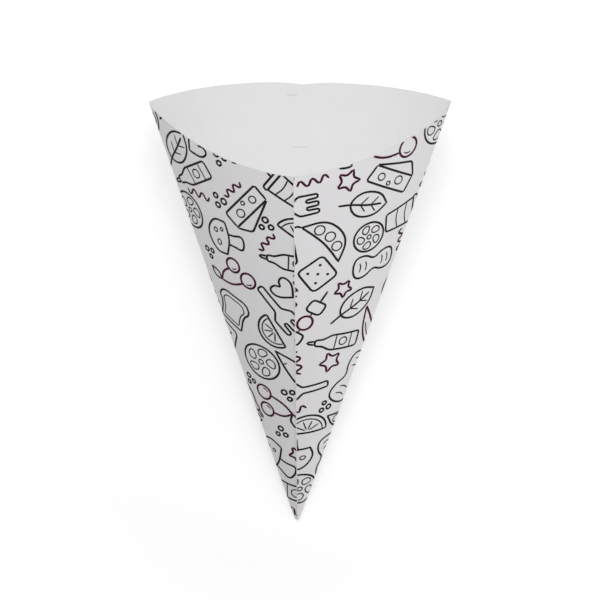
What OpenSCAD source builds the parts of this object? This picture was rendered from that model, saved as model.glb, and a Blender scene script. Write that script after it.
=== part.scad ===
// Paper fry cone: one board blank bent round to a cone with two side folds and a lapped seam.
// Millimetres, +Z up. The cone lies on its back panel, mouth towards +Y, seam on top.

/* [Blank] */
// Length of a side fold from the point to the mouth corner, mean of both sides
side_length = 200; // [140:1:280]
// Width of the cone when pressed flat, corner to corner
flat_width = 143.5; // [100:0.5:200]
// Thickness of the paper board
board_thickness = 0.4; // [0.3:0.05:0.8]
// How much longer the right side fold is than the mean, and the left one shorter
corner_skew = 1.3; // [0:0.1:4]

/* [Mouth] */
// Width of the opened mouth, corner to corner
mouth_width = 118; // [80:1:136]
// How far the front rim stands out from the plane of the side folds, at the seam
mouth_front = 35.2; // [20:0.2:40]
// How far the back rim stands out from the plane of the side folds, at the crease
mouth_back = 33.4; // [20:0.2:40]

/* [Rim] */
// Length of the front seam from the point to the rim
seam_length = 176; // [130:1:190]
// Length of the back crease from the point to the rim, before the notch
crease_length = 191.3; // [150:0.1:199]
// Length of the front rim's ends from the point, where they meet the side folds
front_end_length = 197; // [190:0.5:198]
// Part of the front rim's rise that is even, the rest gathers towards the folds
front_rim_even = 0.14; // [0:0.02:1]
// Part of the back rim's rise that is even, the rest gathers towards the folds
back_rim_even = 0.5; // [0:0.02:1]
// Depth of the shallow notch in the back rim at the crease
notch_depth = 0.6; // [0:0.1:4]
// Half width of that notch
notch_reach = 10; // [4:0.5:30]

/* [Seam] */
// Width of the glued lap behind the front seam, measured at the rim
lap_width = 12; // [6:0.5:24]
// Lean of the two cut edges of the lap
edge_lean = 0.15; // [0.05:0.05:0.4]

/* [Point] */
// Distance from the sharp end to the blunt cut of the point
point_cut = 2.4; // [1.5:0.1:6]
// Length over which the point is pinched shut
point_fill = 8; // [6:0.5:30]

/* [Slit] */
// Distance of the short slit in the back panel below the back rim, along the crease
slit_below_rim = 26.3; // [8:0.1:90]
// Width of the slit across the crease
slit_width = 7; // [3:0.5:16]
// Shift of the slit's middle from the crease, to the right
slit_shift = -0.8; // [-3:0.1:3]
// Gap between the slit's two edges
slit_gap = 0.3; // [0.2:0.05:0.8]

/* [Fineness] */
// Steps in each half panel
panel_steps = 30; // [16:2:60]

/* [Hidden] */
board_colour = "#f1eff0";
// Directions of the two side folds, the seam and the back crease from the point
fold_x = mouth_width / 2 / side_length;
fold_right = [fold_x, 0, sqrt(1 - fold_x * fold_x)];
fold_left = [-fold_x, 0, fold_right.z];
seam_y = mouth_front / seam_length;
seam_line = [0, -seam_y, sqrt(1 - seam_y * seam_y)];
crease_y = mouth_back / crease_length;
crease_line = [0, crease_y, sqrt(1 - crease_y * crease_y)];
// Flat angle of a half panel, never less than the opened mouth needs
widest_gap = max(acos(seam_line * fold_right), acos(crease_line * fold_right));
half_angle = max(asin(flat_width / 2 / side_length), widest_gap * 1.004);
// Share of the front right half that the lap takes up
lap_share = min(0.9, lap_width / seam_length * 180 / PI / half_angle);
lap_steps = max(2, round(panel_steps * lap_share));
notch_share = min(0.9, notch_reach / crease_length * 180 / PI / half_angle);
corner_right = side_length + corner_skew;
corner_left = side_length - corner_skew;
// The hollow starts where the board's layers no longer touch
hollow_start = max(point_fill, 20 * board_thickness);

// Range of half turns that is searched for a panel's bend, in degrees, and how often it is halved
least_turn = 0.2;
most_turn = 170;
halvings = 40;

function unit(v) = v / norm(v);

// Turns a vector about an axis
function turn(v, axis, angle) =
    v * cos(angle) + cross(axis, v) * sin(angle) + axis * (axis * v) * (1 - cos(angle));

// Half the turn of an arc that is "ratio" times as long as its chord, found by halving a range
function arc_half(ratio, low = least_turn, high = most_turn, left = halvings) =
    left == 0
        ? (low + high) / 2
        : (low + high) / 2 * PI / 180 / sin((low + high) / 2) < ratio
            ? arc_half(ratio, (low + high) / 2, high, left - 1)
            : arc_half(ratio, low, (low + high) / 2, left - 1);

// A half panel bent from line p to line q as a part of a round cone: [start, axis, turn, slope of the cone]
function half_panel(p, q) =
    let (
        gap = acos(p * q),
        half_turn = arc_half(half_angle * PI / 180 / 2 / sin(gap / 2)),
        slope = asin(sin(gap / 2) / sin(half_turn)),
        lean = acos(min(1, cos(slope) / cos(gap / 2)))
    )
    [p, unit(p + q) * cos(lean) + unit(cross(p, q)) * sin(lean), 2 * half_turn, slope];

function line_at(panel, t) = turn(panel[0], panel[1], panel[2] * t);
function normal_at(panel, t) = unit(line_at(panel, t) * cos(panel[3]) - panel[1]);

front_right = half_panel(seam_line, fold_right);
back_right = half_panel(fold_right, crease_line);
back_left = half_panel(crease_line, fold_left);
front_left = half_panel(fold_left, seam_line);

// Length from the point to the rim, with t from 0 at the seam or crease to 1 at the fold
function eased(t, even) = even * t + (1 - even) * t * t;
function front_rim(t) =
    seam_length + (front_end_length - seam_length) * eased(t, front_rim_even);
function back_rim(t, corner) =
    crease_length
    + (corner - crease_length) * eased(t, back_rim_even)
    - notch_depth * pow(max(0, 1 - t / notch_share), 2);

// Lift of the sheet's outside, one thickness at the seam's upper edge and none after one turn
function lift(s) = board_thickness * (1 - s);

// Offset that keeps one thickness from both sides of a fold
function mitre(a, b) = (a + b) / (1 + a * b);

// A rib is [direction, outside offsets with rim lengths, inside offsets with rim lengths]
function plain_rib(panel, t, s, rim, layers = 1) =
    let (n = normal_at(panel, t))
    [line_at(panel, t), [[n * lift(s), rim]], [[n * (lift(s) - layers * board_thickness), rim]]];

// Where a panel meets the next one in a soft crease
function crease_rib(a, b, s, rim) =
    let (m = mitre(normal_at(a, 1), normal_at(b, 0)))
    [line_at(b, 0), [[m * lift(s), rim]], [[m * (lift(s) - board_thickness), rim]]];

// A side fold: rounded outside, with the rim stepping between the two panels
function fold_rib(a, b, s, rim_a, rim_b) =
    let (
        u = line_at(b, 0),
        na = normal_at(a, 1),
        nb = normal_at(b, 0),
        inner = mitre(na, nb) * (lift(s) - board_thickness),
        high = max(rim_a, rim_b),
        side = unit(cross(u, na + nb)) * board_thickness / 4
    )
    [
        u,
        [
            [inner + na * board_thickness, rim_a],
            [inner + unit(na + nb) * board_thickness, high],
            [inner + nb * board_thickness, rim_b]
        ],
        [
            [inner - side, rim_a],
            [inner + side, rim_b]
        ]
    ];

// The seam: the right half lies over the left half and its cut edge shows
seam_rib =
    let (
        nl = normal_at(front_left, 1),
        nr = normal_at(front_right, 0),
        edge = cross(seam_line, nr) * edge_lean
    )
    [
        seam_line,
        [[nl * 0, front_rim(0)], [nr * board_thickness + edge, front_rim(0)]],
        [[mitre(nl, nr) * -board_thickness, front_rim(0)]]
    ];

// The lap's hidden edge, inside the cone
lap_rib =
    let (
        t = lap_share,
        n = normal_at(front_right, t),
        edge = cross(line_at(front_right, t), n) * edge_lean,
        top = lift(t / 4)
    )
    [
        line_at(front_right, t),
        [[n * top, front_rim(t)]],
        [
            [n * (top - 2 * board_thickness), front_rim(t)],
            [n * (top - board_thickness) + edge, front_rim(t)]
        ]
    ];

ribs = concat(
    [seam_rib],
    [
        for (i = [1 : lap_steps - 1])
        let (t = lap_share * i / lap_steps)
        plain_rib(front_right, t, t / 4, front_rim(t), 2)
    ],
    [lap_rib],
    [
        for (i = [1 : panel_steps - lap_steps - 1])
        let (t = lap_share + (1 - lap_share) * i / (panel_steps - lap_steps))
        plain_rib(front_right, t, t / 4, front_rim(t))
    ],
    [fold_rib(front_right, back_right, 1 / 4, front_rim(1), corner_right)],
    [
        for (i = [1 : panel_steps - 1])
        let (t = i / panel_steps)
        plain_rib(back_right, t, (1 + t) / 4, back_rim(1 - t, corner_right))
    ],
    [crease_rib(back_right, back_left, 1 / 2, back_rim(0, corner_right))],
    [
        for (i = [1 : panel_steps - 1])
        let (t = i / panel_steps)
        plain_rib(back_left, t, (2 + t) / 4, back_rim(t, corner_left))
    ],
    [fold_rib(back_left, front_left, 3 / 4, corner_left, front_rim(1))],
    [
        for (i = [1 : panel_steps - 1])
        let (t = i / panel_steps)
        plain_rib(front_left, t, (3 + t) / 4, front_rim(1 - t))
    ]
);

// Points along each rib, at the rim and at a level above the sharp end
function at_rim(rib, k) = [for (o = rib[k]) rib[0] * o[1] + o[0]];
function at_level(rib, k, level) = [for (o = rib[k]) rib[0] * (level - o[0].z) / rib[0].z + o[0]];

outer_top = [for (rib = ribs) each at_rim(rib, 1)];
outer_end = [for (rib = ribs) each at_level(rib, 1, point_cut)];
inner_top = [for (rib = ribs) each at_rim(rib, 2)];
inner_end = [for (rib = ribs) each at_level(rib, 2, hollow_start)];
outer_count = len(outer_top);
inner_count = len(inner_top);
function middle(points) = [for (p = points) 1] * points / len(points);
sheet_points = concat(
    outer_top,
    outer_end,
    inner_top,
    inner_end,
    [middle(outer_end), middle(inner_end)]
);
inner_first = 2 * outer_count;
end_centre = inner_first + 2 * inner_count;

// Number of points before each rib
outer_before = [for (i = 0, n = 0; i < len(ribs); n = n + len(ribs[i][1]), i = i + 1) n];
inner_before = [for (i = 0, n = 0; i < len(ribs); n = n + len(ribs[i][2]), i = i + 1) n];

function out_at(i, k) = (outer_before[i % len(ribs)] + k) % outer_count;
function in_at(i, k) = inner_first + (inner_before[i % len(ribs)] + k) % inner_count;

// Cut edge of the rim: inside one rib, then from each rib to the next
function rim_in_rib(i) =
    let (n = len(ribs[i][1]), m = len(ribs[i][2]))
    concat(
        [for (k = [0 : 1 : n - 2]) [in_at(i, min(k, m - 1)), out_at(i, k + 1), out_at(i, k)]],
        [for (k = [0 : 1 : m - 2]) [in_at(i, k), in_at(i, k + 1), out_at(i, min(k + 1, n - 1))]]
    );
function rim_to_next(i) =
    let (
        a = out_at(i, len(ribs[i][1]) - 1),
        b = out_at(i + 1, 0),
        c = in_at(i + 1, 0),
        d = in_at(i, len(ribs[i][2]) - 1)
    )
    [[d, c, b], [d, b, a]];

sheet_faces = concat(
    [
        for (j = [0 : outer_count - 1])
        let (k = (j + 1) % outer_count)
        each [[outer_count + j, j, k], [outer_count + j, k, outer_count + k]]
    ],
    [
        for (j = [0 : inner_count - 1])
        let (
            k = (j + 1) % inner_count,
            a = inner_first + j,
            b = inner_first + k
        )
        each [[b + inner_count, b, a], [b + inner_count, a, a + inner_count]]
    ],
    [for (i = [0 : len(ribs) - 1]) each rim_in_rib(i)],
    [for (i = [0 : len(ribs) - 1]) each rim_to_next(i)],
    [
        for (j = [0 : outer_count - 1])
        [end_centre, outer_count + j, outer_count + (j + 1) % outer_count]
    ],
    [
        for (j = [0 : inner_count - 1])
        let (first = inner_first + inner_count)
        [end_centre + 1, first + (j + 1) % inner_count, first + j]
    ]
);

// The cone lies on the lines of its back panel that lean out most
back_lean = max([for (rib = ribs) atan2(rib[0].y, rib[0].z)]);
lay_angle = back_lean - 90;
function laid(p) = [
    p.x,
    p.y * cos(lay_angle) - p.z * sin(lay_angle),
    p.y * sin(lay_angle) + p.z * cos(lay_angle)
];
laid_points = [for (p = sheet_points) laid(p)];
laid_low = min([for (p = laid_points) p.z]);
laid_middle = (min([for (p = laid_points) p.y]) + max([for (p = laid_points) p.y])) / 2;
laid_side = (min([for (p = laid_points) p.x]) + max([for (p = laid_points) p.x])) / 2;

slit_place = laid(crease_line * (crease_length - slit_below_rim));
slit_depth = 12 * board_thickness;

module cone_sheet() {
    color(board_colour)
        translate([-laid_side, -laid_middle, -laid_low])
            difference() {
                polyhedron(points = laid_points, faces = sheet_faces, convexity = 8);
                translate(slit_place + [slit_shift, 0, 0])
                    cube([slit_width, slit_gap, slit_depth], center = true);
            }
}

cone_sheet();
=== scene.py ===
"""Paper fry cone: a printed board blank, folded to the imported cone's shape and laid on a pale floor.

The blank is made as a flat sheet, its print is drawn flat on it, and one folding rule bends both.
"""

import math
import random
from collections import namedtuple
from functools import partial

import bmesh
import bpy
import numpy as np
from bpy.props import FloatProperty, FloatVectorProperty, IntProperty, PointerProperty
from mathutils import Matrix, Quaternion, Vector
from mathutils.geometry import convex_hull_2d


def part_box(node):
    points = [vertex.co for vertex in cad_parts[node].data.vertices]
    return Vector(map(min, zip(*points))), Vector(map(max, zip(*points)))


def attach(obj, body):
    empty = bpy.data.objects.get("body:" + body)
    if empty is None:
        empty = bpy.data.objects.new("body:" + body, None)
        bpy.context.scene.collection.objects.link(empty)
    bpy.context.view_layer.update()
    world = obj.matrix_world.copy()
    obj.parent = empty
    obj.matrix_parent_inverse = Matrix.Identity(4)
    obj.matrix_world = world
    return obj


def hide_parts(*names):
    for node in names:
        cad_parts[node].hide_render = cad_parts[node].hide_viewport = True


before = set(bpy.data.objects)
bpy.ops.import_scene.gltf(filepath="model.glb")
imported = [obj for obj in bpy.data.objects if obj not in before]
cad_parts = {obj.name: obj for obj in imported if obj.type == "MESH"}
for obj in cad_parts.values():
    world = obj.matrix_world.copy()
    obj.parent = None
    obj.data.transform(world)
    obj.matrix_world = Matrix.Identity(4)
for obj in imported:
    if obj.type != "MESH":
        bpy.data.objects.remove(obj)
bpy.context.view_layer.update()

bl_info = {
    "name": "Paper Fry Cone",
    "version": (1, 0, 0),
    "blender": (4, 5, 0),
    "location": "3D View > Sidebar > Fry Cone",
    "description": "Folds a printed paper board blank to a fry cone and sets a studio for it",
    "category": "Object",
}

MM = 0.001
NODE = "cone_sheet"
BODY = "root"


def linear(hex_colour):
    """Linear red, green and blue of an sRGB hex value."""
    parts = [int(hex_colour[i:i + 2], 16) / 255 for i in (1, 3, 5)]
    return [c / 12.92 if c <= 0.04045 else ((c + 0.055) / 1.055) ** 2.4 for c in parts]


# Sizes, colours and stage settings

length = partial(FloatProperty, unit="LENGTH", min=0, precision=5)
share = partial(FloatProperty, subtype="FACTOR", min=0, max=1)
angle = partial(FloatProperty, subtype="ANGLE")
power = partial(FloatProperty, unit="POWER", min=0)
colour = partial(FloatVectorProperty, subtype="COLOR", size=3, min=0, max=1)


class FryConeSizes(bpy.types.PropertyGroup):
    """Sizes of the blank and of the opened cone. The slit and two rims differ a little from the solid."""

    side_length: length(
        name="Side fold", description="From the point to a mouth corner, mean of both", default=200 * MM)
    flat_width: length(
        name="Flat width", description="Corner to corner when pressed flat", default=143.5 * MM)
    board_thickness: length(
        name="Board", description="Thickness of the paper board", default=0.4 * MM)
    corner_skew: length(
        name="Corner skew", description="How much the right fold is longer than the mean", default=1.3 * MM)
    mouth_width: length(
        name="Mouth width", description="Corner to corner when opened", default=118 * MM)
    mouth_front: length(
        name="Mouth front", description="Front rim from the plane of the side folds", default=35.2 * MM)
    mouth_back: length(
        name="Mouth back", description="Back rim from the plane of the side folds", default=33.4 * MM)
    seam_length: length(
        name="Seam", description="Front seam from the point to the rim", default=176 * MM)
    crease_length: length(
        name="Crease", description="Back crease from the point to the rim", default=191.3 * MM)
    front_end_length: length(
        name="Front rim end", description="Front rim's ends from the point", default=197 * MM)
    right_rim_even: share(
        name="Right rim", description="Part of the right front rim's rise that is even", default=0.14)
    left_rim_even: share(
        name="Left rim", description="Part of the left front rim's rise that is even", default=-0.06,
        min=-1)
    back_rim_even: share(
        name="Back rim", description="Part of the back rim's rise that is even", default=0.3)
    notch_depth: length(
        name="Notch depth", description="Shallow notch in the back rim at the crease", default=0.6 * MM)
    notch_reach: length(
        name="Notch reach", description="Half width of that notch", default=10 * MM)
    lap_width: length(
        name="Lap", description="Width of the glued lap at the rim", default=12 * MM)
    point_cut: length(
        name="Point cut", description="From the sharp end to the blunt cut", default=2.4 * MM)
    point_fill: length(
        name="Point fill", description="Length over which the point is pinched shut", default=8 * MM)
    slit_distance: length(
        name="Slit distance", description="Slit in the back panel from the point", default=165 * MM)
    slit_width: length(
        name="Slit width", description="Width of the slit across the crease", default=7 * MM)
    slit_shift: FloatProperty(
        name="Slit shift", description="Slit's middle from the crease", default=0.8 * MM, unit="LENGTH")
    slit_gap: length(
        name="Slit gap", description="Gap between the slit's edges, nearly shut", default=0.14 * MM)


class FryConeLooks(bpy.types.PropertyGroup):
    """Colours of the board and the inks, and the pens of the print."""

    board_outside: colour(
        name="Printed side", description="Board under the print", default=linear("#f1eff1"))
    board_inside: colour(
        name="Inside", description="Bare inside of the board", default=linear("#f4f4f4"))
    cut_edge: colour(
        name="Cut edge", description="Fibres in the cut edge", default=linear("#dcdcda"))
    dark_ink: colour(
        name="Dark ink", description="Near black of most lines", default=linear("#211a1c"))
    plum_ink: colour(
        name="Plum ink", description="Plum of the other lines", default=linear("#43092e"))
    pen_width: length(
        name="Pen", description="Width of the main dark lines", default=0.93 * MM)
    plum_pen_width: length(
        name="Plum pen", description="Width of the main plum lines", default=1.0 * MM)
    fine_pen_width: length(
        name="Fine pen", description="Width of the inner lines", default=0.6 * MM)
    seam_margin: length(
        name="Seam margin", description="Bare strip along the seam's upper edge", default=0.25 * MM)
    motif_gap: length(
        name="Motif gap", description="Least gap between two drawings", default=1.1 * MM)
    layout_seed: IntProperty(
        name="Layout", description="Start of the scatter's random draws", default=3)


class FryConeStage(bpy.types.PropertyGroup):
    """Floor, lights and view."""

    floor_colour: colour(
        name="Floor", description="Colour of the floor", default=linear("#dadada"))
    floor_glow: FloatProperty(
        name="Floor glow", description="What the camera adds to the floor by the cone", default=0.49)
    far_glow: FloatProperty(
        name="Far glow", description="What the camera adds to the floor far off", default=0.86)
    mouth_power: power(
        name="Mouth light", description="Soft light from beyond the mouth", default=1.879)
    right_power: power(
        name="Right light", description="Low soft light from the right of the point", default=0.93)
    left_power: power(
        name="Left light", description="Low soft light from the left of the point", default=0.48)
    sky_strength: FloatProperty(
        name="Sky", description="Even light from all round", default=0.279, min=0)
    view_rise: angle(
        name="View rise", description="View above the level of the upright cone", default=math.radians(24))
    view_turn: angle(
        name="View turn", description="View to the right of the front", default=math.radians(2.8))
    view_roll: angle(
        name="View roll", description="Tilt of the picture", default=math.radians(0.184))
    view_distance: length(
        name="View distance", description="From the camera to its target", default=700 * MM)
    view_height: length(
        name="View height", description="Target above the point of the upright cone", default=106.414 * MM)
    view_side: length(
        name="View side", description="Target to the right of the middle", default=0.993 * MM)
    lens: FloatProperty(
        name="Lens", description="Focal length for a sensor 36 mm wide", default=102.56, unit="CAMERA")


# The folding rule

PANELS = 4
RIGHT_FOLD, CREASE, LEFT_FOLD, SEAM = 1, 2, 3, 4
PANEL_STEPS = 34
LAP_STEPS = 4
ROWS = 44
# Half widths of the rounded bends, in shares of a half panel
BENDS = {RIGHT_FOLD: 0.01, CREASE: 0.026, LEFT_FOLD: 0.01, SEAM: 0.008}
BEND_STOPS = (-1, -0.5, 0, 0.5, 1)
GLUE_GAP = 0.02 * MM
SMALLEST_TURN = 0.001
HALVINGS = 50


def unit_line(x, y):
    """Unit line from the point, with its parts to the right and to the back given."""
    return Vector((x, y, math.sqrt(1 - x * x - y * y)))


def arc_half_turn(ratio):
    """Half the turn of an arc that is ratio times as long as its chord."""
    low, high = SMALLEST_TURN, math.pi
    for _ in range(HALVINGS):
        middle = (low + high) / 2
        if middle / math.sin(middle) < ratio:
            low = middle
        else:
            high = middle
    return (low + high) / 2


class HalfPanel:
    """A half panel bent from one line to the next as a part of a round cone."""

    def __init__(self, start, end, flat_angle):
        gap = start.angle(end)
        half_turn = arc_half_turn(flat_angle / 2 / math.sin(gap / 2))
        self.slope = math.asin(math.sin(gap / 2) / math.sin(half_turn))
        lean = math.acos(min(1, math.cos(self.slope) / math.cos(gap / 2)))
        middle = (start + end).normalized()
        self.axis = middle * math.cos(lean) + start.cross(end).normalized() * math.sin(lean)
        self.start = start
        self.turn = 2 * half_turn

    def at(self, part):
        """Line and outward normal at a part of the half panel."""
        line = Quaternion(self.axis, self.turn * part) @ self.start
        return line, (line * math.cos(self.slope) - self.axis).normalized()


class FoldedCone:
    """Where a point of the flat blank goes when the blank is folded and laid on its back.

    The blank lies flat with its point at the origin, the back crease along +Y and its printed
    side up. A place round the blank counts half panels from the seam's upper edge: the side
    folds are at 1 and 3, the crease at 2, the seam again at 4 and the hidden lap beyond it.
    """

    def __init__(self, sizes):
        self.sizes = sizes
        side = sizes.mouth_width / 2 / sizes.side_length
        seam = unit_line(0, -sizes.mouth_front / sizes.seam_length)
        crease = unit_line(0, sizes.mouth_back / sizes.crease_length)
        stops = (seam, unit_line(side, 0), crease, unit_line(-side, 0), seam)
        self.half_angle = math.asin(sizes.flat_width / 2 / sizes.side_length)
        self.panels = [HalfPanel(a, b, self.half_angle) for a, b in zip(stops, stops[1:])]
        self.lap_share = sizes.lap_width / sizes.seam_length / self.half_angle
        self.notch_share = sizes.notch_reach / sizes.crease_length / self.half_angle
        self.bend_lines = {}
        for bend, reach in BENDS.items():
            self.bend_lines[bend] = [self.unrounded(bend + reach * k)[0] for k in (-1, 0, 1)]
        self.lay_down()

    def lay_down(self):
        """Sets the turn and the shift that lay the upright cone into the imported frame."""
        lines = [self.guide(place)[0] for place in self.columns()]
        lean = max(math.atan2(line.y, line.z) for line in lines)
        self.laid = Matrix.Rotation(lean - math.pi / 2, 4, "X")
        rim = [self.fold(self.flat(place, self.rim(place))) for place in self.columns()]
        tip = [self.fold(self.flat(place, self.tip(place))) for place in self.columns()]
        low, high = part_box(NODE)
        corners = min(p.x for p in rim) + max(p.x for p in rim)
        shift = Vector((
            (low.x + high.x - corners) / 2,
            low.y - min(p.y for p in tip),
            low.z - min(p.z for p in rim)))
        self.laid = Matrix.Translation(shift) @ self.laid

    def unrounded(self, place):
        """Line and outward normal at a place, with every bend sharp."""
        panel = int(place) % PANELS
        return self.panels[panel].at(place - int(place))

    def guide(self, place):
        """Line and outward normal at a place, with each bend rounded."""
        for bend, reach in BENDS.items():
            if abs(place - bend) < reach:
                k = (place - bend) / reach / 2 + 0.5
                a, b, c = self.bend_lines[bend]
                line = a * (1 - k) ** 2 + b * 2 * k * (1 - k) + c * k ** 2
                along = (b - a) * (1 - k) + (c - b) * k
                return line.normalized(), along.cross(line).normalized()
        return self.unrounded(place)

    def columns(self):
        """Places at which the sheet has an edge from the point to the rim, dense at the bends."""
        places = {0.0}
        for panel in range(PANELS):
            start = panel + BENDS.get(panel, 0)
            end = panel + 1 - BENDS[panel + 1]
            places.update(start + (end - start) * i / PANEL_STEPS for i in range(PANEL_STEPS + 1))
            bend = panel + 1
            places.update(bend + BENDS[bend] * k for k in BEND_STOPS)
        places.update(SEAM + self.lap_share * (i + 1) / LAP_STEPS for i in range(LAP_STEPS))
        return sorted(places)

    def rim(self, place):
        """Length of the sheet from the point to the rim."""
        s = self.sizes
        if RIGHT_FOLD <= place <= LEFT_FOLD:
            part = abs(place - CREASE)
            corner = s.side_length + (s.corner_skew if place < CREASE else -s.corner_skew)
            even = s.back_rim_even * part + (1 - s.back_rim_even) * part ** 2
            notch = s.notch_depth * max(0, 1 - part / self.notch_share) ** 2
            return s.crease_length + (corner - s.crease_length) * even - notch
        if place > LEFT_FOLD:
            part, evenness = abs(place - SEAM), s.left_rim_even
        else:
            part, evenness = place, s.right_rim_even
        even = evenness * part + (1 - evenness) * part ** 2
        return s.seam_length + (s.front_end_length - s.seam_length) * even

    def tip(self, place):
        """Length from the sharp end to the blunt cut."""
        return self.sizes.point_cut / self.guide(place)[0].z

    def flat(self, place, distance):
        """Point of the flat blank at a place round it and a distance from its point."""
        turn = (place - CREASE) * self.half_angle
        return Vector((distance * math.sin(turn), distance * math.cos(turn), 0))

    def place(self, point):
        """Place round the blank of a flat point."""
        return CREASE + math.atan2(point.x, point.y) / self.half_angle

    def lift(self, place):
        """Height of the printed side over the lines: the sheet winds once over itself at the lap."""
        thickness = self.sizes.board_thickness
        if place > SEAM:
            return -thickness * (place - SEAM) / PANELS - GLUE_GAP
        return thickness * (1 - place / PANELS)

    def fold(self, point):
        """Where a point over the flat blank goes. Its height is kept along the outward normal."""
        place = self.place(point)
        line, normal = self.guide(place)
        distance = math.hypot(point.x, point.y)
        return self.laid @ (line * distance + normal * (self.lift(place) + point.z))


# Meshes and materials

def piece_from(bm, name, materials):
    """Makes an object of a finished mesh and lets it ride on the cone's body."""
    mesh = bpy.data.meshes.new(name)
    bm.to_mesh(mesh)
    bm.free()
    for material in materials:
        mesh.materials.append(material)
    piece = bpy.data.objects.new(name, mesh)
    bpy.context.scene.collection.objects.link(piece)
    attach(piece, BODY)
    return piece


def add_node(tree, kind, inputs=None, **settings):
    """Adds a node with its settings. An input takes a value or the socket that feeds it."""
    node = tree.nodes.new(kind)
    for name, value in settings.items():
        setattr(node, name, value)
    for name, value in (inputs or {}).items():
        if isinstance(value, bpy.types.NodeSocket):
            tree.links.new(value, node.inputs[name])
        else:
            node.inputs[name].default_value = value
    return node


def new_material(name):
    """A material with an empty node tree, and that tree."""
    material = bpy.data.materials.new(name)
    material.use_nodes = True
    material.node_tree.nodes.clear()
    return material, material.node_tree


MIX_COLOUR_A, MIX_COLOUR_B, MIX_COLOUR = 6, 7, 2
# Clouds of denser fibre in the board, and the fibres themselves. A fibre is some 0.03 mm
# thick, which can't show in the picture, so the tooth is drawn at half a millimetre.
FORMATION_SIZE = 7 * MM
TOOTH_SIZE = 0.5 * MM
TOOTH_DEPTH = 0.012 * MM


def paper_board(name, tone, shade, roughness):
    """Uncoated white board: matt, faintly cloudy where the fibres lie denser, with a fine tooth."""
    material, tree = new_material(name)
    where = add_node(tree, "ShaderNodeTexCoord").outputs["Object"]
    clouds = add_node(tree, "ShaderNodeTexNoise", {
        "Vector": where, "Scale": 1 / FORMATION_SIZE, "Detail": 4.0, "Roughness": 0.55})
    mixed = add_node(tree, "ShaderNodeMix", {
        "Factor": clouds.outputs["Fac"],
        MIX_COLOUR_A: [*tone, 1],
        MIX_COLOUR_B: [*(c * shade for c in tone), 1]}, data_type="RGBA")
    tooth = add_node(tree, "ShaderNodeTexNoise", {
        "Vector": where, "Scale": 1 / TOOTH_SIZE, "Detail": 3.0, "Roughness": 0.6})
    bump = add_node(tree, "ShaderNodeBump", {
        "Height": tooth.outputs["Fac"], "Strength": 0.35, "Distance": TOOTH_DEPTH})
    shader = add_node(tree, "ShaderNodeBsdfPrincipled", {
        "Base Color": mixed.outputs[MIX_COLOUR],
        "Roughness": roughness,
        "IOR": 1.5,
        "Specular IOR Level": 0.25,
        "Normal": bump.outputs["Normal"]})
    add_node(tree, "ShaderNodeOutputMaterial", {"Surface": shader.outputs["BSDF"]})
    return material


INK_GRAIN_SIZE = 0.8 * MM
# How much lighter thin ink is, in linear colour
THIN_INK = 0.008


def printed_ink(name, tone):
    """Offset ink on uncoated board: matt, and a little lighter where the paper took less of it."""
    material, tree = new_material(name)
    where = add_node(tree, "ShaderNodeTexCoord").outputs["Object"]
    grain = add_node(tree, "ShaderNodeTexNoise", {
        "Vector": where, "Scale": 1 / INK_GRAIN_SIZE, "Detail": 3.0})
    mixed = add_node(tree, "ShaderNodeMix", {
        "Factor": grain.outputs["Fac"],
        MIX_COLOUR_A: [*tone, 1],
        MIX_COLOUR_B: [*(c + THIN_INK for c in tone), 1]}, data_type="RGBA")
    shader = add_node(tree, "ShaderNodeBsdfPrincipled", {
        "Base Color": mixed.outputs[MIX_COLOUR],
        "Roughness": 0.65,
        "IOR": 1.5,
        "Specular IOR Level": 0.08})
    add_node(tree, "ShaderNodeOutputMaterial", {"Surface": shader.outputs["BSDF"]})
    return material


# The folded board

OUTSIDE, INSIDE, EDGE = 0, 1, 2
FLAP_CORNER = 0.9 * MM
SHARP_EDGE = math.radians(40)
# A short scored mark above the slit, on the flat blank: both ends, distance from the point
SCORE_LEFT, SCORE_RIGHT, SCORE_DISTANCE = 2.1 * MM, 6.2 * MM, 186.4 * MM
SCORE_GAP = 0.2 * MM
SCORE_DEPTH = 0.3 * MM
# The slit is cut at a slant, so its edges close the view through it
SLIT_SLANT = 0.35 * MM
CUT_TOLERANCE = 0.001 * MM
# In the pinched point, how far the inside stays open at least, and how near the middle it comes
PINCH_OPEN = 0.06
PINCH_REACH = 0.94


def flat_blank(cone):
    """The blank as a flat sheet with no thickness: a grid drawn out to the fan's outline."""
    bm = bmesh.new()
    columns = cone.columns()
    bmesh.ops.create_grid(bm, x_segments=len(columns) - 1, y_segments=ROWS, size=0.5)
    flap_corner = None
    for vert in bm.verts:
        place = columns[round((vert.co.x + 0.5) * (len(columns) - 1))]
        row = vert.co.y + 0.5
        if place == 0 and row > 1 - 0.5 / ROWS:
            flap_corner = vert
        tip = cone.tip(place)
        vert.co = cone.flat(place, tip + (cone.rim(place) - tip) * row)
    bmesh.ops.bevel(
        bm, geom=[flap_corner], offset=FLAP_CORNER, offset_type="OFFSET", affect="VERTICES",
        segments=4, profile=0.5, material=-1)
    return bm


def inside_rectangle(bm, low, high):
    """Faces of the flat sheet whose middle lies in a rectangle."""
    middles = [(face, face.calc_center_median()) for face in bm.faces]
    return [f for f, m in middles if low.x < m.x < high.x and low.y < m.y < high.y]


def cut_outline(bm, low, high):
    """Cuts a rectangle's four sides into the flat sheet's faces near it."""
    for corner, axis in ((low, 0), (high, 0), (low, 1), (high, 1)):
        near = []
        for face in bm.faces:
            xs = [v.co.x for v in face.verts]
            ys = [v.co.y for v in face.verts]
            if min(xs) < high.x and max(xs) > low.x and min(ys) < high.y and max(ys) > low.y:
                near.append(face)
        parts = {part for f in near for part in (*f.verts, *f.edges)}
        normal = Vector((1, 0, 0)) if axis == 0 else Vector((0, 1, 0))
        bmesh.ops.bisect_plane(
            bm, geom=[*parts, *near], dist=CUT_TOLERANCE, plane_co=corner, plane_no=normal)


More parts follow.
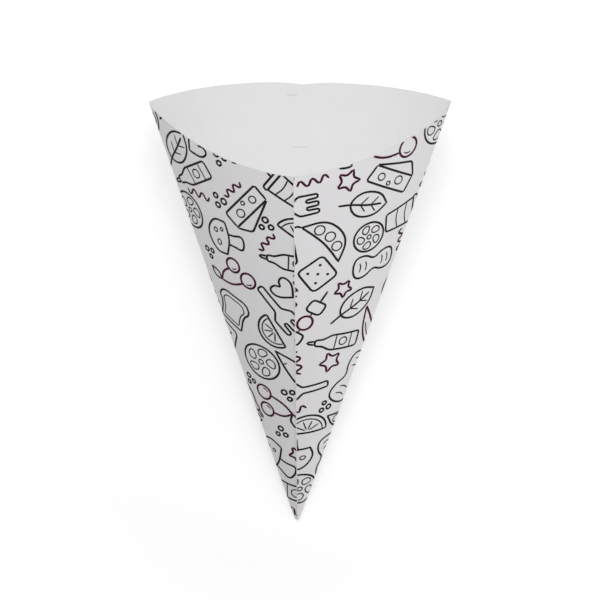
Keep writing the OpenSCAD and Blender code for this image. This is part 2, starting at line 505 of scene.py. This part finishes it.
def slit_corners(sizes):
    """Opposite corners of the slit on the flat blank."""
    half = Vector((sizes.slit_width / 2, sizes.slit_gap / 2, 0))
    middle = Vector((sizes.slit_shift, sizes.slit_distance, 0))
    return middle - half, middle + half


def slant_slit(bm, low, high):
    """Moves the slit's printed side towards the point."""
    near = Vector((CUT_TOLERANCE, CUT_TOLERANCE, 0))
    low, high = low - near, high + near
    for vert in bm.verts:
        x, y, z = vert.co
        if low.x < x < high.x and low.y < y < high.y and z > -CUT_TOLERANCE:
            vert.co.y -= SLIT_SLANT


def board_mesh(cone):
    """The folded board: the blank is cut, made as thick as the board, and every point folded."""
    sizes = cone.sizes
    thickness = sizes.board_thickness
    bm = flat_blank(cone)
    slit = slit_corners(sizes)
    half_gap = SCORE_GAP / 2
    score = (
        Vector((SCORE_LEFT, SCORE_DISTANCE - half_gap, 0)),
        Vector((SCORE_RIGHT, SCORE_DISTANCE + half_gap, 0)))
    cut_outline(bm, *slit)
    cut_outline(bm, *score)
    bmesh.ops.delete(bm, geom=inside_rectangle(bm, *slit), context="FACES")
    bmesh.ops.solidify(bm, geom=bm.faces[:], thickness=thickness)
    top = max(v.co.z for v in bm.verts)
    bmesh.ops.translate(bm, vec=(0, 0, -top), verts=bm.verts)
    bm.normal_update()
    for face in bm.faces:
        face.smooth = True
        if abs(face.normal.z) < 0.5:
            face.material_index = EDGE
        else:
            face.material_index = OUTSIDE if face.normal.z > 0 else INSIDE
    scored = [f for f in inside_rectangle(bm, *score) if f.material_index == INSIDE]
    walls = bmesh.ops.inset_region(bm, faces=scored, thickness=0, depth=-SCORE_DEPTH)["faces"]
    for face in scored + walls:
        face.material_index = EDGE
    slant_slit(bm, *slit)
    for vert in bm.verts:
        fold_board_point(cone, vert)
    bm.normal_update()
    for edge in bm.edges:
        edge.smooth = edge.calc_face_angle(0) < SHARP_EDGE
    return bm


def fold_board_point(cone, vert):
    """Folds one point of the board. In the pinched point, the inside closes up to the middle."""
    sizes = cone.sizes
    distance = math.hypot(vert.co.x, vert.co.y)
    depth = -vert.co.z / sizes.board_thickness
    folded = cone.fold(vert.co)
    if distance < sizes.point_fill:
        half_fill = sizes.point_fill / 2
        open_part = max(PINCH_OPEN, (distance - half_fill) / half_fill)
        outside = cone.fold(Vector((vert.co.x, vert.co.y, 0)))
        middle = cone.laid @ Vector((0, 0, distance * cone.guide(cone.place(vert.co))[0].z))
        closed = outside.lerp(middle, depth * PINCH_REACH)
        folded = closed.lerp(folded, open_part)
    vert.co = folded


class FRYCONE_OT_fold_board(bpy.types.Operator):
    """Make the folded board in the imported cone's place"""

    bl_idname = "fry_cone.fold_board"
    bl_label = "Fold the Board"

    def execute(self, context):
        looks = context.scene.fry_cone_looks
        bm = board_mesh(FoldedCone(context.scene.fry_cone_sizes))
        materials = [
            paper_board("white board, printed side", looks.board_outside, shade=0.97, roughness=0.72),
            paper_board("white board, bare inside", looks.board_inside, shade=0.975, roughness=0.8),
            paper_board("white board, cut edge", looks.cut_edge, shade=0.96, roughness=0.9),
        ]
        board = piece_from(bm, "folded_board", materials)
        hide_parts(NODE)
        return {"FINISHED"}


# The print's drawings, in millimetres

Stroke = namedtuple("Stroke", "points closed fine plum")
ARC_STEP = math.radians(12)
CURVE_ROUNDS = 3
# Most of a straight side that a rounded corner takes
CORNER_SHARE = 0.45


def curve(*points, closed=False, fine=False, plum=False):
    """A smooth line guided by a few points. A point given twice makes a corner."""
    for _ in range(CURVE_ROUNDS):
        ends = points[1:] + points[:1] if closed else points[1:]
        cut = [] if closed else [points[0]]
        for (ax, ay), (bx, by) in zip(points, ends):
            cut.append((ax * 0.75 + bx * 0.25, ay * 0.75 + by * 0.25))
            cut.append((ax * 0.25 + bx * 0.75, ay * 0.25 + by * 0.75))
        points = tuple(cut if closed else cut + [points[-1]])
    return Stroke(points, closed, fine, plum)


def bent(*points, radius=0.7, closed=False, fine=False, plum=False):
    """Straight lines from point to point with rounded corners."""
    path = [Vector(p) for p in points]
    rounded = []
    for i, here in enumerate(path):
        if not closed and i in (0, len(path) - 1):
            rounded.append(here)
            continue
        before = path[i - 1] - here
        after = path[(i + 1) % len(path)] - here
        start = here + before * min(CORNER_SHARE, radius / before.length)
        end = here + after * min(CORNER_SHARE, radius / after.length)
        rounded += [start, (start + 2 * here + end) / 4, end]
    return Stroke(tuple(tuple(p) for p in rounded), closed, fine, plum)


def ring(x, y, wide, tall=None, start=0, end=360, fine=False, plum=False):
    """A circle or oval, or the part of it between two angles in degrees."""
    first, last = math.radians(start), math.radians(end)
    steps = max(3, round((last - first) / ARC_STEP))
    whole = end - start == 360
    turns = [first + (last - first) * i / steps for i in range(steps + (not whole))]
    high = wide if tall is None else tall
    points = tuple((x + wide / 2 * math.cos(t), y + high / 2 * math.sin(t)) for t in turns)
    return Stroke(points, whole, fine, plum)


def soda_cup():
    return [
        bent((-5, 5), (-3.6, -8), (3.6, -8), (5, 5), closed=True),
        bent((-5.8, 5), (5.8, 5), (5.2, 7.2), (-5.2, 7.2), closed=True),
        bent((0.8, 7.2), (1.8, 11.6), (5.4, 13), radius=1.2, plum=True),
        curve((-4.6, 1.6), (0, 0.6), (4.6, 1.6), fine=True),
        curve((-4.2, -2.6), (0, -3.6), (4.2, -2.6), fine=True),
    ]


def lemon_half():
    spokes = [math.radians(a) for a in (216, 252, 288, 324)]
    return [
        ring(0, 3, 17, start=180, end=360),
        bent((-8.5, 3), (8.5, 3)),
        ring(0, 3, 13.4, start=184, end=356, fine=True),
        *(bent((math.cos(a), 2.4 + math.sin(a)), (5.8 * math.cos(a), 3 + 5.8 * math.sin(a)), fine=True)
          for a in spokes),
    ]


def tomato_slice():
    strokes = [ring(0, 0, 15, 14), ring(0, 0, 2, 2, fine=True)]
    for k in range(5):
        turn = Matrix.Rotation(math.radians(72 * k + 20), 2)
        pocket = [turn @ Vector(p) for p in ((1.6, 0.3), (5.6, -2.2), (6, 1.4), (3.4, 2.6))]
        strokes.append(curve(*(tuple(p) for p in pocket), closed=True, fine=True))
    return strokes


def leaf():
    veins = [bent((0.2, y), (side * 2.9, y + 2.6), fine=True) for y in (2, -2.4) for side in (-1, 1)]
    return [
        curve((0, 9), (0, 9), (4.6, 5), (5.2, -3), (0, -7.4), (-5.2, -3), (-4.6, 5), closed=True),
        curve((0, 6.6), (0.4, 0), (0, -6), (0.8, -11)),
        *veins,
    ]


def chilli():
    return [
        curve((-9, 2.4), (-9.4, 6), (-5, 6.6), (0, 4.8), (5, 0.5), (9.5, -6.4), (9.5, -6.4),
              (3, -3.4), (-4, 0.4), closed=True, plum=True),
        curve((-8.6, 4.4), (-11, 5.4), (-12, 8.2), plum=True),
        curve((-4.6, 4.2), (0, 2.6), (4, -0.8), fine=True, plum=True),
    ]


def mushroom():
    return [
        curve((-7.6, 0), (-7.6, 0), (-8, 6), (0, 10.4), (8, 6), (7.6, 0), (7.6, 0), (0, -2), closed=True),
        curve((-2.4, -0.8), (-2.4, -4), (-3.6, -8), (0, -9), (3.6, -8), (2.4, -4), (2.4, -0.8)),
        ring(-3, 3.8, 2.6, 2, fine=True),
        ring(2.4, 5.2, 2.2, 1.8, fine=True),
        ring(3.6, 2, 1.6, 1.3, fine=True),
    ]


def cheese_wedge():
    return [
        bent((-9, 0), (4.6, 5.6), (9, 1.4), closed=True),
        bent((-8.6, -0.1), (-9, -6), (9, -4.6), (8.6, 1.3)),
        ring(-4.4, -2.8, 2.8, 2.5, fine=True),
        ring(3.4, -1.6, 3.4, 2.9, fine=True),
        ring(-0.2, -3.8, 1.5, 1.4, fine=True),
    ]


def chip_fork():
    return [
        bent((-11, -1.5), (0.5, -1.6), (3.5, -4.6), (11.5, -4.4), (11.5, -2.6), (6.5, -2.4),
             (6.5, -1), (11.5, -1), (11.5, 1), (6.5, 1), (6.5, 2.4), (11.5, 2.6), (11.5, 4.4),
             (3.5, 4.6), (0.5, 1.6), (-11, 1.5), closed=True),
    ]


def pea_pod():
    return [
        curve((-11, 3), (-11, 3), (-7, -4.6), (0, -6.4), (7, -4.6), (11, 3), (11, 3), (5, 2),
              (0, 1.6), (-5, 2), closed=True),
        *(ring(x, y, 3.9, fine=True) for x, y in ((-5.2, -0.8), (0, -1.7), (5.2, -0.8))),
        curve((11, 3), (12.4, 3.6), (13, 5.2)),
    ]


def peanut():
    ridges = [curve((x, 2.2), (x + 0.7, 0), (x, -2.2), fine=True) for x in (-7, -4.2, 4, 6.8)]
    return [
        curve((-10.4, 0), (-9, 5), (-4, 5.2), (0, 2), (4, 4.8), (9, 4.6), (10.4, 0), (9, -4.6),
              (4, -4.8), (0, -2), (-4, -5.2), (-9, -5), closed=True),
        *ridges,
    ]


def carrot():
    return [
        curve((-10.4, -0.4), (-10.4, -0.4), (-3, 3), (5, 4.2), (8.6, 2), (8.6, -2.4), (5, -4.2),
              (-3, -2.6), closed=True),
        bent((0.6, 2.9), (1.2, 1), fine=True),
        bent((3.6, -3.4), (3, -1.6), fine=True),
        bent((-4.4, -1.8), (-4, -0.4), fine=True),
        curve((8, 0.8), (10.6, 2), (12.6, 5.2)),
        curve((8.2, 0), (11, 0.6), (14.4, 0.8)),
        curve((8, -0.8), (10.6, -2), (12.4, -4.8)),
    ]


def cherries():
    return [
        ring(-4, -5.2, 7, plum=True),
        ring(4.6, -4, 6.6, plum=True),
        curve((-3.6, -1.7), (-1.6, 4), (3, 8), plum=True),
        curve((4.8, -0.7), (5.4, 4), (3, 8), plum=True),
        curve((3, 8), (3, 8), (6, 11), (10, 9), (10, 9), (6.6, 6.6), closed=True),
        ring(-4, -5.2, 4.2, start=110, end=190, fine=True, plum=True),
        ring(4.6, -4, 3.8, start=110, end=190, fine=True, plum=True),
    ]


def sauce_bottle():
    return [
        bent((-3.3, -10), (3.3, -10), (3.3, 2.4), (1.4, 6), (1.4, 9), (-1.4, 9), (-1.4, 6), (-3.3, 2.4),
             radius=1, closed=True),
        bent((-0.8, 9), (-0.4, 12), (0.4, 12), (0.8, 9), radius=0.4),
        bent((-3.3, -6.4), (3.3, -6.4), fine=True),
        bent((-3.3, 0.4), (3.3, 0.4), fine=True),
        ring(0, -3, 3.4, fine=True),
    ]


def skewer():
    return [
        bent((-14.5, 0), (-9.6, 0)),
        bent((-9.6, -3), (-4.6, -3.2), (-4.6, 3), (-9.6, 3.2), radius=1.4, closed=True),
        bent((-4.6, 0), (-3, 0), fine=True),
        ring(0, 0, 6, 5.4, plum=True),
        bent((3, 0), (4.6, 0), fine=True),
        bent((4.6, -3.2), (9.6, -3), (9.6, 3.2), (4.6, 3), radius=1.4, closed=True),
        bent((9.6, 0), (13, 0)),
    ]


def cracker():
    holes = [(-3, -3), (3, -3), (0, 0), (-3, 3), (3, 3)]
    return [
        bent((-6.2, -6.2), (6.2, -6.2), (6.2, 6.2), (-6.2, 6.2), radius=1.8, closed=True),
        *(ring(x, y, 0.68, fine=True) for x, y in holes),
    ]


def toast():
    outline = ((-5.6, -6.8), (-5.6, -6.8), (5.6, -6.8), (5.6, -6.8), (5.4, 0.6), (8, 3.6), (5.6, 7.6),
               (0, 7.6), (-5.6, 7.6), (-8, 3.6), (-5.4, 0.6))
    crumb = tuple((x * 0.72, y * 0.74) for x, y in outline)
    return [curve(*outline, closed=True), curve(*crumb, closed=True, fine=True)]


def star():
    points = []
    for k in range(10):
        turn = math.radians(36 * k + 90)
        reach = 2.1 if k % 2 else 4.6
        points.append((reach * math.cos(turn), reach * math.sin(turn)))
    return [bent(*points, radius=0.8, closed=True, plum=True)]


def heart():
    return [curve((0, -4), (0, -4), (4.8, 0), (4.6, 4.4), (1.4, 4.4), (0, 2), (0, 2), (-1.4, 4.4),
                  (-4.6, 4.4), (-4.8, 0), closed=True)]


def squiggle():
    return [curve((-5.4, -0.6), (-4, 2), (-2, -2.4), (0, 2.2), (2, -2.4), (4, 2), (5.4, -0.6), plum=True)]


def pepper_corns():
    return [ring(-1.8, -0.8, 2.2), ring(1.6, -1.4, 1.8), ring(0.2, 1.8, 1.9)]


LARGE_MOTIFS = (
    soda_cup, lemon_half, chilli, mushroom, cheese_wedge, pea_pod, peanut, tomato_slice,
    carrot, cherries, sauce_bottle, skewer, toast, chip_fork, leaf, cracker)
SMALL_MOTIFS = (star, pepper_corns, heart, squiggle)


# The scatter and the inked lines

LARGE_TRIES = 6000
SMALL_TRIES = 4000
# Least distance between two drawings of the same thing
LARGE_REPEAT = 40 * MM
SMALL_REPEAT = 16 * MM
# How far past the blank's sides and rim the scatter reaches
BLEED = 7 * MM
SCALE_RANGE = (0.95, 1.3)
HULL_DIGITS = 3
STROKE_STEP = 0.9
# Fewest steps of a closed and of an open stroke, so that small rings stay round
CLOSED_STEPS, OPEN_STEPS = 10, 3
# The ink's film as drawn, and the gaps that keep both inks off the board and off each other
INK_HEIGHT = 0.03 * MM
DARK_GAP = 0.01 * MM
PLUM_GAP = 0.018 * MM
# Width of a pen line at its ends, against its middle
PEN_END = 0.55


def resampled(stroke):
    """The stroke's points at even short steps along it."""
    path = list(stroke.points) + ([stroke.points[0]] if stroke.closed else [])
    lengths = [0.0]
    for (ax, ay), (bx, by) in zip(path, path[1:]):
        lengths.append(lengths[-1] + math.hypot(bx - ax, by - ay))
    fewest = CLOSED_STEPS if stroke.closed else OPEN_STEPS
    steps = max(fewest, math.ceil(lengths[-1] / STROKE_STEP))
    stops = np.linspace(0, lengths[-1], steps + 1)
    xs = np.interp(stops, lengths, [p[0] for p in path])
    ys = np.interp(stops, lengths, [p[1] for p in path])
    points = [Vector(p) for p in zip(xs, ys)]
    return points[:-1] if stroke.closed else points


def hull_of(strokes):
    """Corners of the smallest convex outline round a drawing. Points that nearly meet count as one."""
    rounded = [
        (round(x, HULL_DIGITS), round(y, HULL_DIGITS)) for stroke in strokes for x, y in stroke.points]
    points = list(dict.fromkeys(rounded))
    return np.array([points[i] for i in convex_hull_2d(points)])


def sides_of(hull):
    """Normals of a convex outline's sides."""
    along = np.roll(hull, -1, axis=0) - hull
    normals = np.stack([along[:, 1], -along[:, 0]], axis=1)
    return normals / np.linalg.norm(normals, axis=1, keepdims=True)


def apart(a, b, gap):
    """Whether two convex outlines lie at least a gap apart."""
    for one, other in ((a, b), (b, a)):
        normals = sides_of(one)
        reach = (one @ normals.T).max(axis=0)
        if ((other @ normals.T).min(axis=0) - reach).max() >= gap:
            return True
    return False


Placed = namedtuple("Placed", "motif hull middle radius turn scale spot")


def scatter(cone, looks):
    """Places the drawings over the flat blank: random spots, kept where they are clear."""
    rng = random.Random(looks.layout_seed)
    widest = cone.half_angle * CREASE + BLEED / cone.sizes.seam_length
    placed = []
    for motifs, tries, repeat in (
        (LARGE_MOTIFS, LARGE_TRIES, LARGE_REPEAT),
        (SMALL_MOTIFS, SMALL_TRIES, SMALL_REPEAT),
    ):
        drawings = [motif() for motif in motifs]
        hulls = [hull_of(drawing) * MM for drawing in drawings]
        for number in range(tries):
            chosen = number % len(motifs)
            spread = rng.uniform(-widest, widest)
            distance = (cone.sizes.side_length + BLEED) * math.sqrt(rng.random())
            turn = rng.uniform(-math.pi, math.pi)
            scale = rng.uniform(*SCALE_RANGE)
            spot = np.array([distance * math.sin(spread), distance * math.cos(spread)])
            rotation = np.array([
                [math.cos(turn), math.sin(turn)], [-math.sin(turn), math.cos(turn)]])
            hull = hulls[chosen] @ rotation * scale + spot
            middle = hull.mean(axis=0)
            radius = np.linalg.norm(hull - middle, axis=1).max()
            gaps = [(p, np.linalg.norm(p.middle - middle)) for p in placed]
            repeated = any(p.motif is drawings[chosen] and gap < repeat for p, gap in gaps)
            near = [p for p, gap in gaps if gap < p.radius + radius + looks.motif_gap]
            if not repeated and all(apart(p.hull, hull, looks.motif_gap) for p in near):
                placed.append(Placed(drawings[chosen], hull, middle, radius, turn, scale, spot))
    return placed


def ink_line(bm, points, closed, width):
    """One pen line: a path of edges, drawn out sideways to a ribbon with narrower ends."""
    count = len(points)
    path = [bm.verts.new((*p, 0)) for p in points]
    last = count if closed else count - 1
    edges = [bm.edges.new((path[i], path[(i + 1) % count])) for i in range(last)]
    bmesh.ops.extrude_edge_only(bm, edges=edges)
    own = set(path)
    for i, vert in enumerate(path):
        far = next(e.other_vert(vert) for e in vert.link_edges if e.other_vert(vert) not in own)
        before = points[i - 1] if closed or i > 0 else points[0]
        after = points[(i + 1) % count] if closed or i < last else points[last]
        along = (after - before).normalized()
        at_end = not closed and i in (0, last)
        side = Vector((-along.y, along.x, 0)) * width / 2 * (PEN_END if at_end else 1)
        vert.co += side
        far.co -= side


def flat_print(placed, looks, plum):
    """All lines of one ink as flat ribbons on the blank."""
    bm = bmesh.new()
    main_width = looks.plum_pen_width if plum else looks.pen_width
    for item in placed:
        turn = Matrix.Rotation(item.turn, 2)
        spot = Vector(item.spot)
        for stroke in item.motif:
            if stroke.plum != plum:
                continue
            points = [turn @ p * item.scale * MM + spot for p in resampled(stroke)]
            ink_line(bm, points, stroke.closed, looks.fine_pen_width if stroke.fine else main_width)
    bm.normal_update()
    bmesh.ops.reverse_faces(bm, faces=[f for f in bm.faces if f.normal.z < 0])
    return bm


def across(cone, place):
    """Level direction at right angles to the blank's line at a place, towards the lap."""
    turn = (place - CREASE) * cone.half_angle
    return Vector((math.cos(turn), -math.sin(turn), 0))


def rim_at(cone, point):
    """Length of the blank to the rim in the direction of a flat point."""
    return cone.rim(min(SEAM, max(0, cone.place(point))))


def cut_print(bm, corner, normal, clear_outer=False):
    """Cuts all lines along a plane, and can clear what lies beyond it."""
    bmesh.ops.bisect_plane(
        bm, geom=bm.verts[:] + bm.edges[:] + bm.faces[:], dist=CUT_TOLERANCE,
        plane_co=corner, plane_no=normal, clear_outer=clear_outer)


def trim_print(bm, cone, looks):
    """Cuts the lines where the board bends and ends them at the seam's edges, the rim and the point."""
    for bend, reach in BENDS.items():
        for k in BEND_STOPS:
            cut_print(bm, Vector(), across(cone, bend + reach * k))
    start = across(cone, 0)
    cut_print(bm, start * looks.seam_margin, -start, clear_outer=True)
    cut_print(bm, Vector(), across(cone, SEAM), clear_outer=True)
    lost = []
    for face in bm.faces:
        middle = face.calc_center_median()
        if not cone.sizes.point_fill / 2 < middle.length < rim_at(cone, middle):
            lost.append(face)
    bmesh.ops.delete(bm, geom=lost, context="FACES")
    for vert in bm.verts:
        vert.co *= min(1, rim_at(cone, vert.co) / vert.co.length)


def print_mesh(cone, looks, placed, plum, gap):
    """One ink of the print, as thick as a printed film is drawn, folded with the board."""
    bm = flat_print(placed, looks, plum)
    trim_print(bm, cone, looks)
    bmesh.ops.solidify(bm, geom=bm.faces[:], thickness=INK_HEIGHT)
    low = min(v.co.z for v in bm.verts)
    for vert in bm.verts:
        vert.co.z += gap - low
        vert.co = cone.fold(vert.co)
    bm.normal_update()
    return bm


class FRYCONE_OT_print_board(bpy.types.Operator):
    """Draw the scattered line print on the outside of the board"""

    bl_idname = "fry_cone.print_board"
    bl_label = "Print the Board"

    def execute(self, context):
        looks = context.scene.fry_cone_looks
        cone = FoldedCone(context.scene.fry_cone_sizes)
        placed = scatter(cone, looks)
        inks = (
            ("print_dark", False, DARK_GAP, printed_ink("offset ink, near black", looks.dark_ink)),
            ("print_plum", True, PLUM_GAP, printed_ink("offset ink, plum", looks.plum_ink)),
        )
        for name, plum, gap, material in inks:
            bm = print_mesh(cone, looks, placed, plum, gap)
            piece_from(bm, name, [material])
        return {"FINISHED"}


# The stage

FLOOR_SIZE = 8.0
# Distances between which the floor's glow grows, as the light from the lamps falls off
GLOW_START = 0.12
GLOW_END = 0.4
LIGHT_TARGET = Vector((0, 0.07, 0.03))
LIGHT_DISTANCE = 0.5
LIGHT_SIZE = 0.35
SENSOR_WIDTH = 36.0
# Turn of each light from the cone's right towards its mouth, and its rise over the floor
MOUTH_LIGHT = math.radians(90), math.radians(55)
RIGHT_LIGHT = math.radians(-30), math.radians(15)
LEFT_LIGHT = math.radians(210), math.radians(15)


def seen_directly(tree):
    """Socket that is 1 for what the camera sees, also in a mirror or through glass."""
    path = add_node(tree, "ShaderNodeLightPath")
    mirrored = add_node(tree, "ShaderNodeMath", {
        0: path.outputs["Is Camera Ray"], 1: path.outputs["Is Glossy Ray"]}, operation="MAXIMUM")
    seen = add_node(tree, "ShaderNodeMath", {
        0: mirrored.outputs[0], 1: path.outputs["Is Transmission Ray"]}, operation="MAXIMUM")
    return seen.outputs[0]


def floor_material(tone, near_glow, far_glow):
    """Pale matt floor. The camera adds a glow, so that lit floor is white and shadow still shows."""
    material, tree = new_material("pale studio floor")
    matt = add_node(tree, "ShaderNodeBsdfDiffuse", {"Color": [*tone, 1]})
    where = add_node(tree, "ShaderNodeTexCoord").outputs["Object"]
    distance = add_node(tree, "ShaderNodeVectorMath", {0: where}, operation="LENGTH")
    glow = add_node(tree, "ShaderNodeMapRange", {
        "Value": distance.outputs["Value"], "From Min": GLOW_START, "From Max": GLOW_END,
        "To Min": near_glow, "To Max": far_glow})
    strength = add_node(tree, "ShaderNodeMath", {
        0: seen_directly(tree), 1: glow.outputs["Result"]}, operation="MULTIPLY")
    light = add_node(tree, "ShaderNodeEmission", {"Strength": strength.outputs[0]})
    both = add_node(tree, "ShaderNodeAddShader", {
        0: matt.outputs["BSDF"], 1: light.outputs["Emission"]})
    add_node(tree, "ShaderNodeOutputMaterial", {"Surface": both.outputs["Shader"]})
    return material


def studio_world(strength):
    """White for the camera, mirrors and glass, and an even soft light for everything else."""
    world = bpy.data.worlds.new("studio")
    world.use_nodes = True
    tree = world.node_tree
    tree.nodes.clear()
    level = add_node(tree, "ShaderNodeMapRange", {
        "Value": seen_directly(tree), "To Min": strength, "To Max": 1.0})
    light = add_node(tree, "ShaderNodeBackground", {"Strength": level.outputs["Result"]})
    add_node(tree, "ShaderNodeOutputWorld", {"Surface": light.outputs["Background"]})
    bpy.context.scene.world = world


def soft_light(name, turn, rise, watts):
    """A large square light in a direction from the cone's mouth, aimed at it."""
    data = bpy.data.lights.new(name, "AREA")
    data.size = LIGHT_SIZE
    data.energy = watts
    level = math.cos(rise)
    place = Vector((math.cos(turn) * level, math.sin(turn) * level, math.sin(rise)))
    lamp = bpy.data.objects.new(name, data)
    lamp.location = LIGHT_TARGET + place * LIGHT_DISTANCE
    lamp.rotation_euler = (-place).to_track_quat("-Z", "Y").to_euler()
    bpy.context.scene.collection.objects.link(lamp)


def photo_camera(stage, cone):
    """The view on the upright cone, laid down together with it."""
    rise, turn = stage.view_rise, stage.view_turn
    back = Vector((math.sin(turn) * math.cos(rise), -math.cos(turn) * math.cos(rise), math.sin(rise)))
    target = Vector((stage.view_side, 0, stage.view_height))
    upright = (-back).to_track_quat("-Z", "Y").to_matrix().to_4x4()
    roll = Matrix.Rotation(stage.view_roll, 4, "Z")
    data = bpy.data.cameras.new("photo_view")
    data.sensor_width = SENSOR_WIDTH
    data.lens = stage.lens
    camera = bpy.data.objects.new("photo_view", data)
    place = Matrix.Translation(target + back * stage.view_distance)
    camera.matrix_world = cone.laid @ place @ upright @ roll
    bpy.context.scene.collection.objects.link(camera)
    bpy.context.scene.camera = camera


class FRYCONE_OT_set_stage(bpy.types.Operator):
    """Set the floor, the lights and the camera round the cone"""

    bl_idname = "fry_cone.set_stage"
    bl_label = "Set the Stage"

    def execute(self, context):
        stage = context.scene.fry_cone_stage
        bm = bmesh.new()
        bmesh.ops.create_grid(bm, x_segments=1, y_segments=1, size=FLOOR_SIZE / 2)
        mesh = bpy.data.meshes.new("studio_floor")
        bm.to_mesh(mesh)
        bm.free()
        mesh.materials.append(floor_material(stage.floor_colour, stage.floor_glow, stage.far_glow))
        floor = bpy.data.objects.new("studio_floor", mesh)
        context.scene.collection.objects.link(floor)
        studio_world(stage.sky_strength)
        soft_light("mouth_light", *MOUTH_LIGHT, stage.mouth_power)
        soft_light("right_light", *RIGHT_LIGHT, stage.right_power)
        soft_light("left_light", *LEFT_LIGHT, stage.left_power)
        photo_camera(stage, FoldedCone(context.scene.fry_cone_sizes))
        context.scene.view_settings.view_transform = "Standard"
        return {"FINISHED"}


class FRYCONE_PT_sidebar(bpy.types.Panel):
    """Lists the cone's settings and the steps that make it"""

    bl_idname = "FRYCONE_PT_sidebar"
    bl_label = "Paper Fry Cone"
    bl_space_type = "VIEW_3D"
    bl_region_type = "UI"
    bl_category = "Fry Cone"

    def draw(self, context):
        scene = context.scene
        for operator, settings in (
            (FRYCONE_OT_fold_board, scene.fry_cone_sizes),
            (FRYCONE_OT_print_board, scene.fry_cone_looks),
            (FRYCONE_OT_set_stage, scene.fry_cone_stage),
        ):
            column = self.layout.column(align=True)
            column.operator(operator.bl_idname)
            for name in settings.__annotations__:
                column.prop(settings, name)


SETTINGS = {
    "fry_cone_sizes": FryConeSizes,
    "fry_cone_looks": FryConeLooks,
    "fry_cone_stage": FryConeStage,
}
CLASSES = (
    *SETTINGS.values(),
    FRYCONE_OT_fold_board,
    FRYCONE_OT_print_board,
    FRYCONE_OT_set_stage,
    FRYCONE_PT_sidebar,
)


def register():
    for cls in CLASSES:
        bpy.utils.register_class(cls)
    for name, settings in SETTINGS.items():
        setattr(bpy.types.Scene, name, PointerProperty(type=settings))


def unregister():
    for name in SETTINGS:
        delattr(bpy.types.Scene, name)
    for cls in reversed(CLASSES):
        bpy.utils.unregister_class(cls)


def main():
    register()
    bpy.ops.fry_cone.fold_board()
    bpy.ops.fry_cone.print_board()
    bpy.ops.fry_cone.set_stage()


if __name__ == "__main__":
    main()
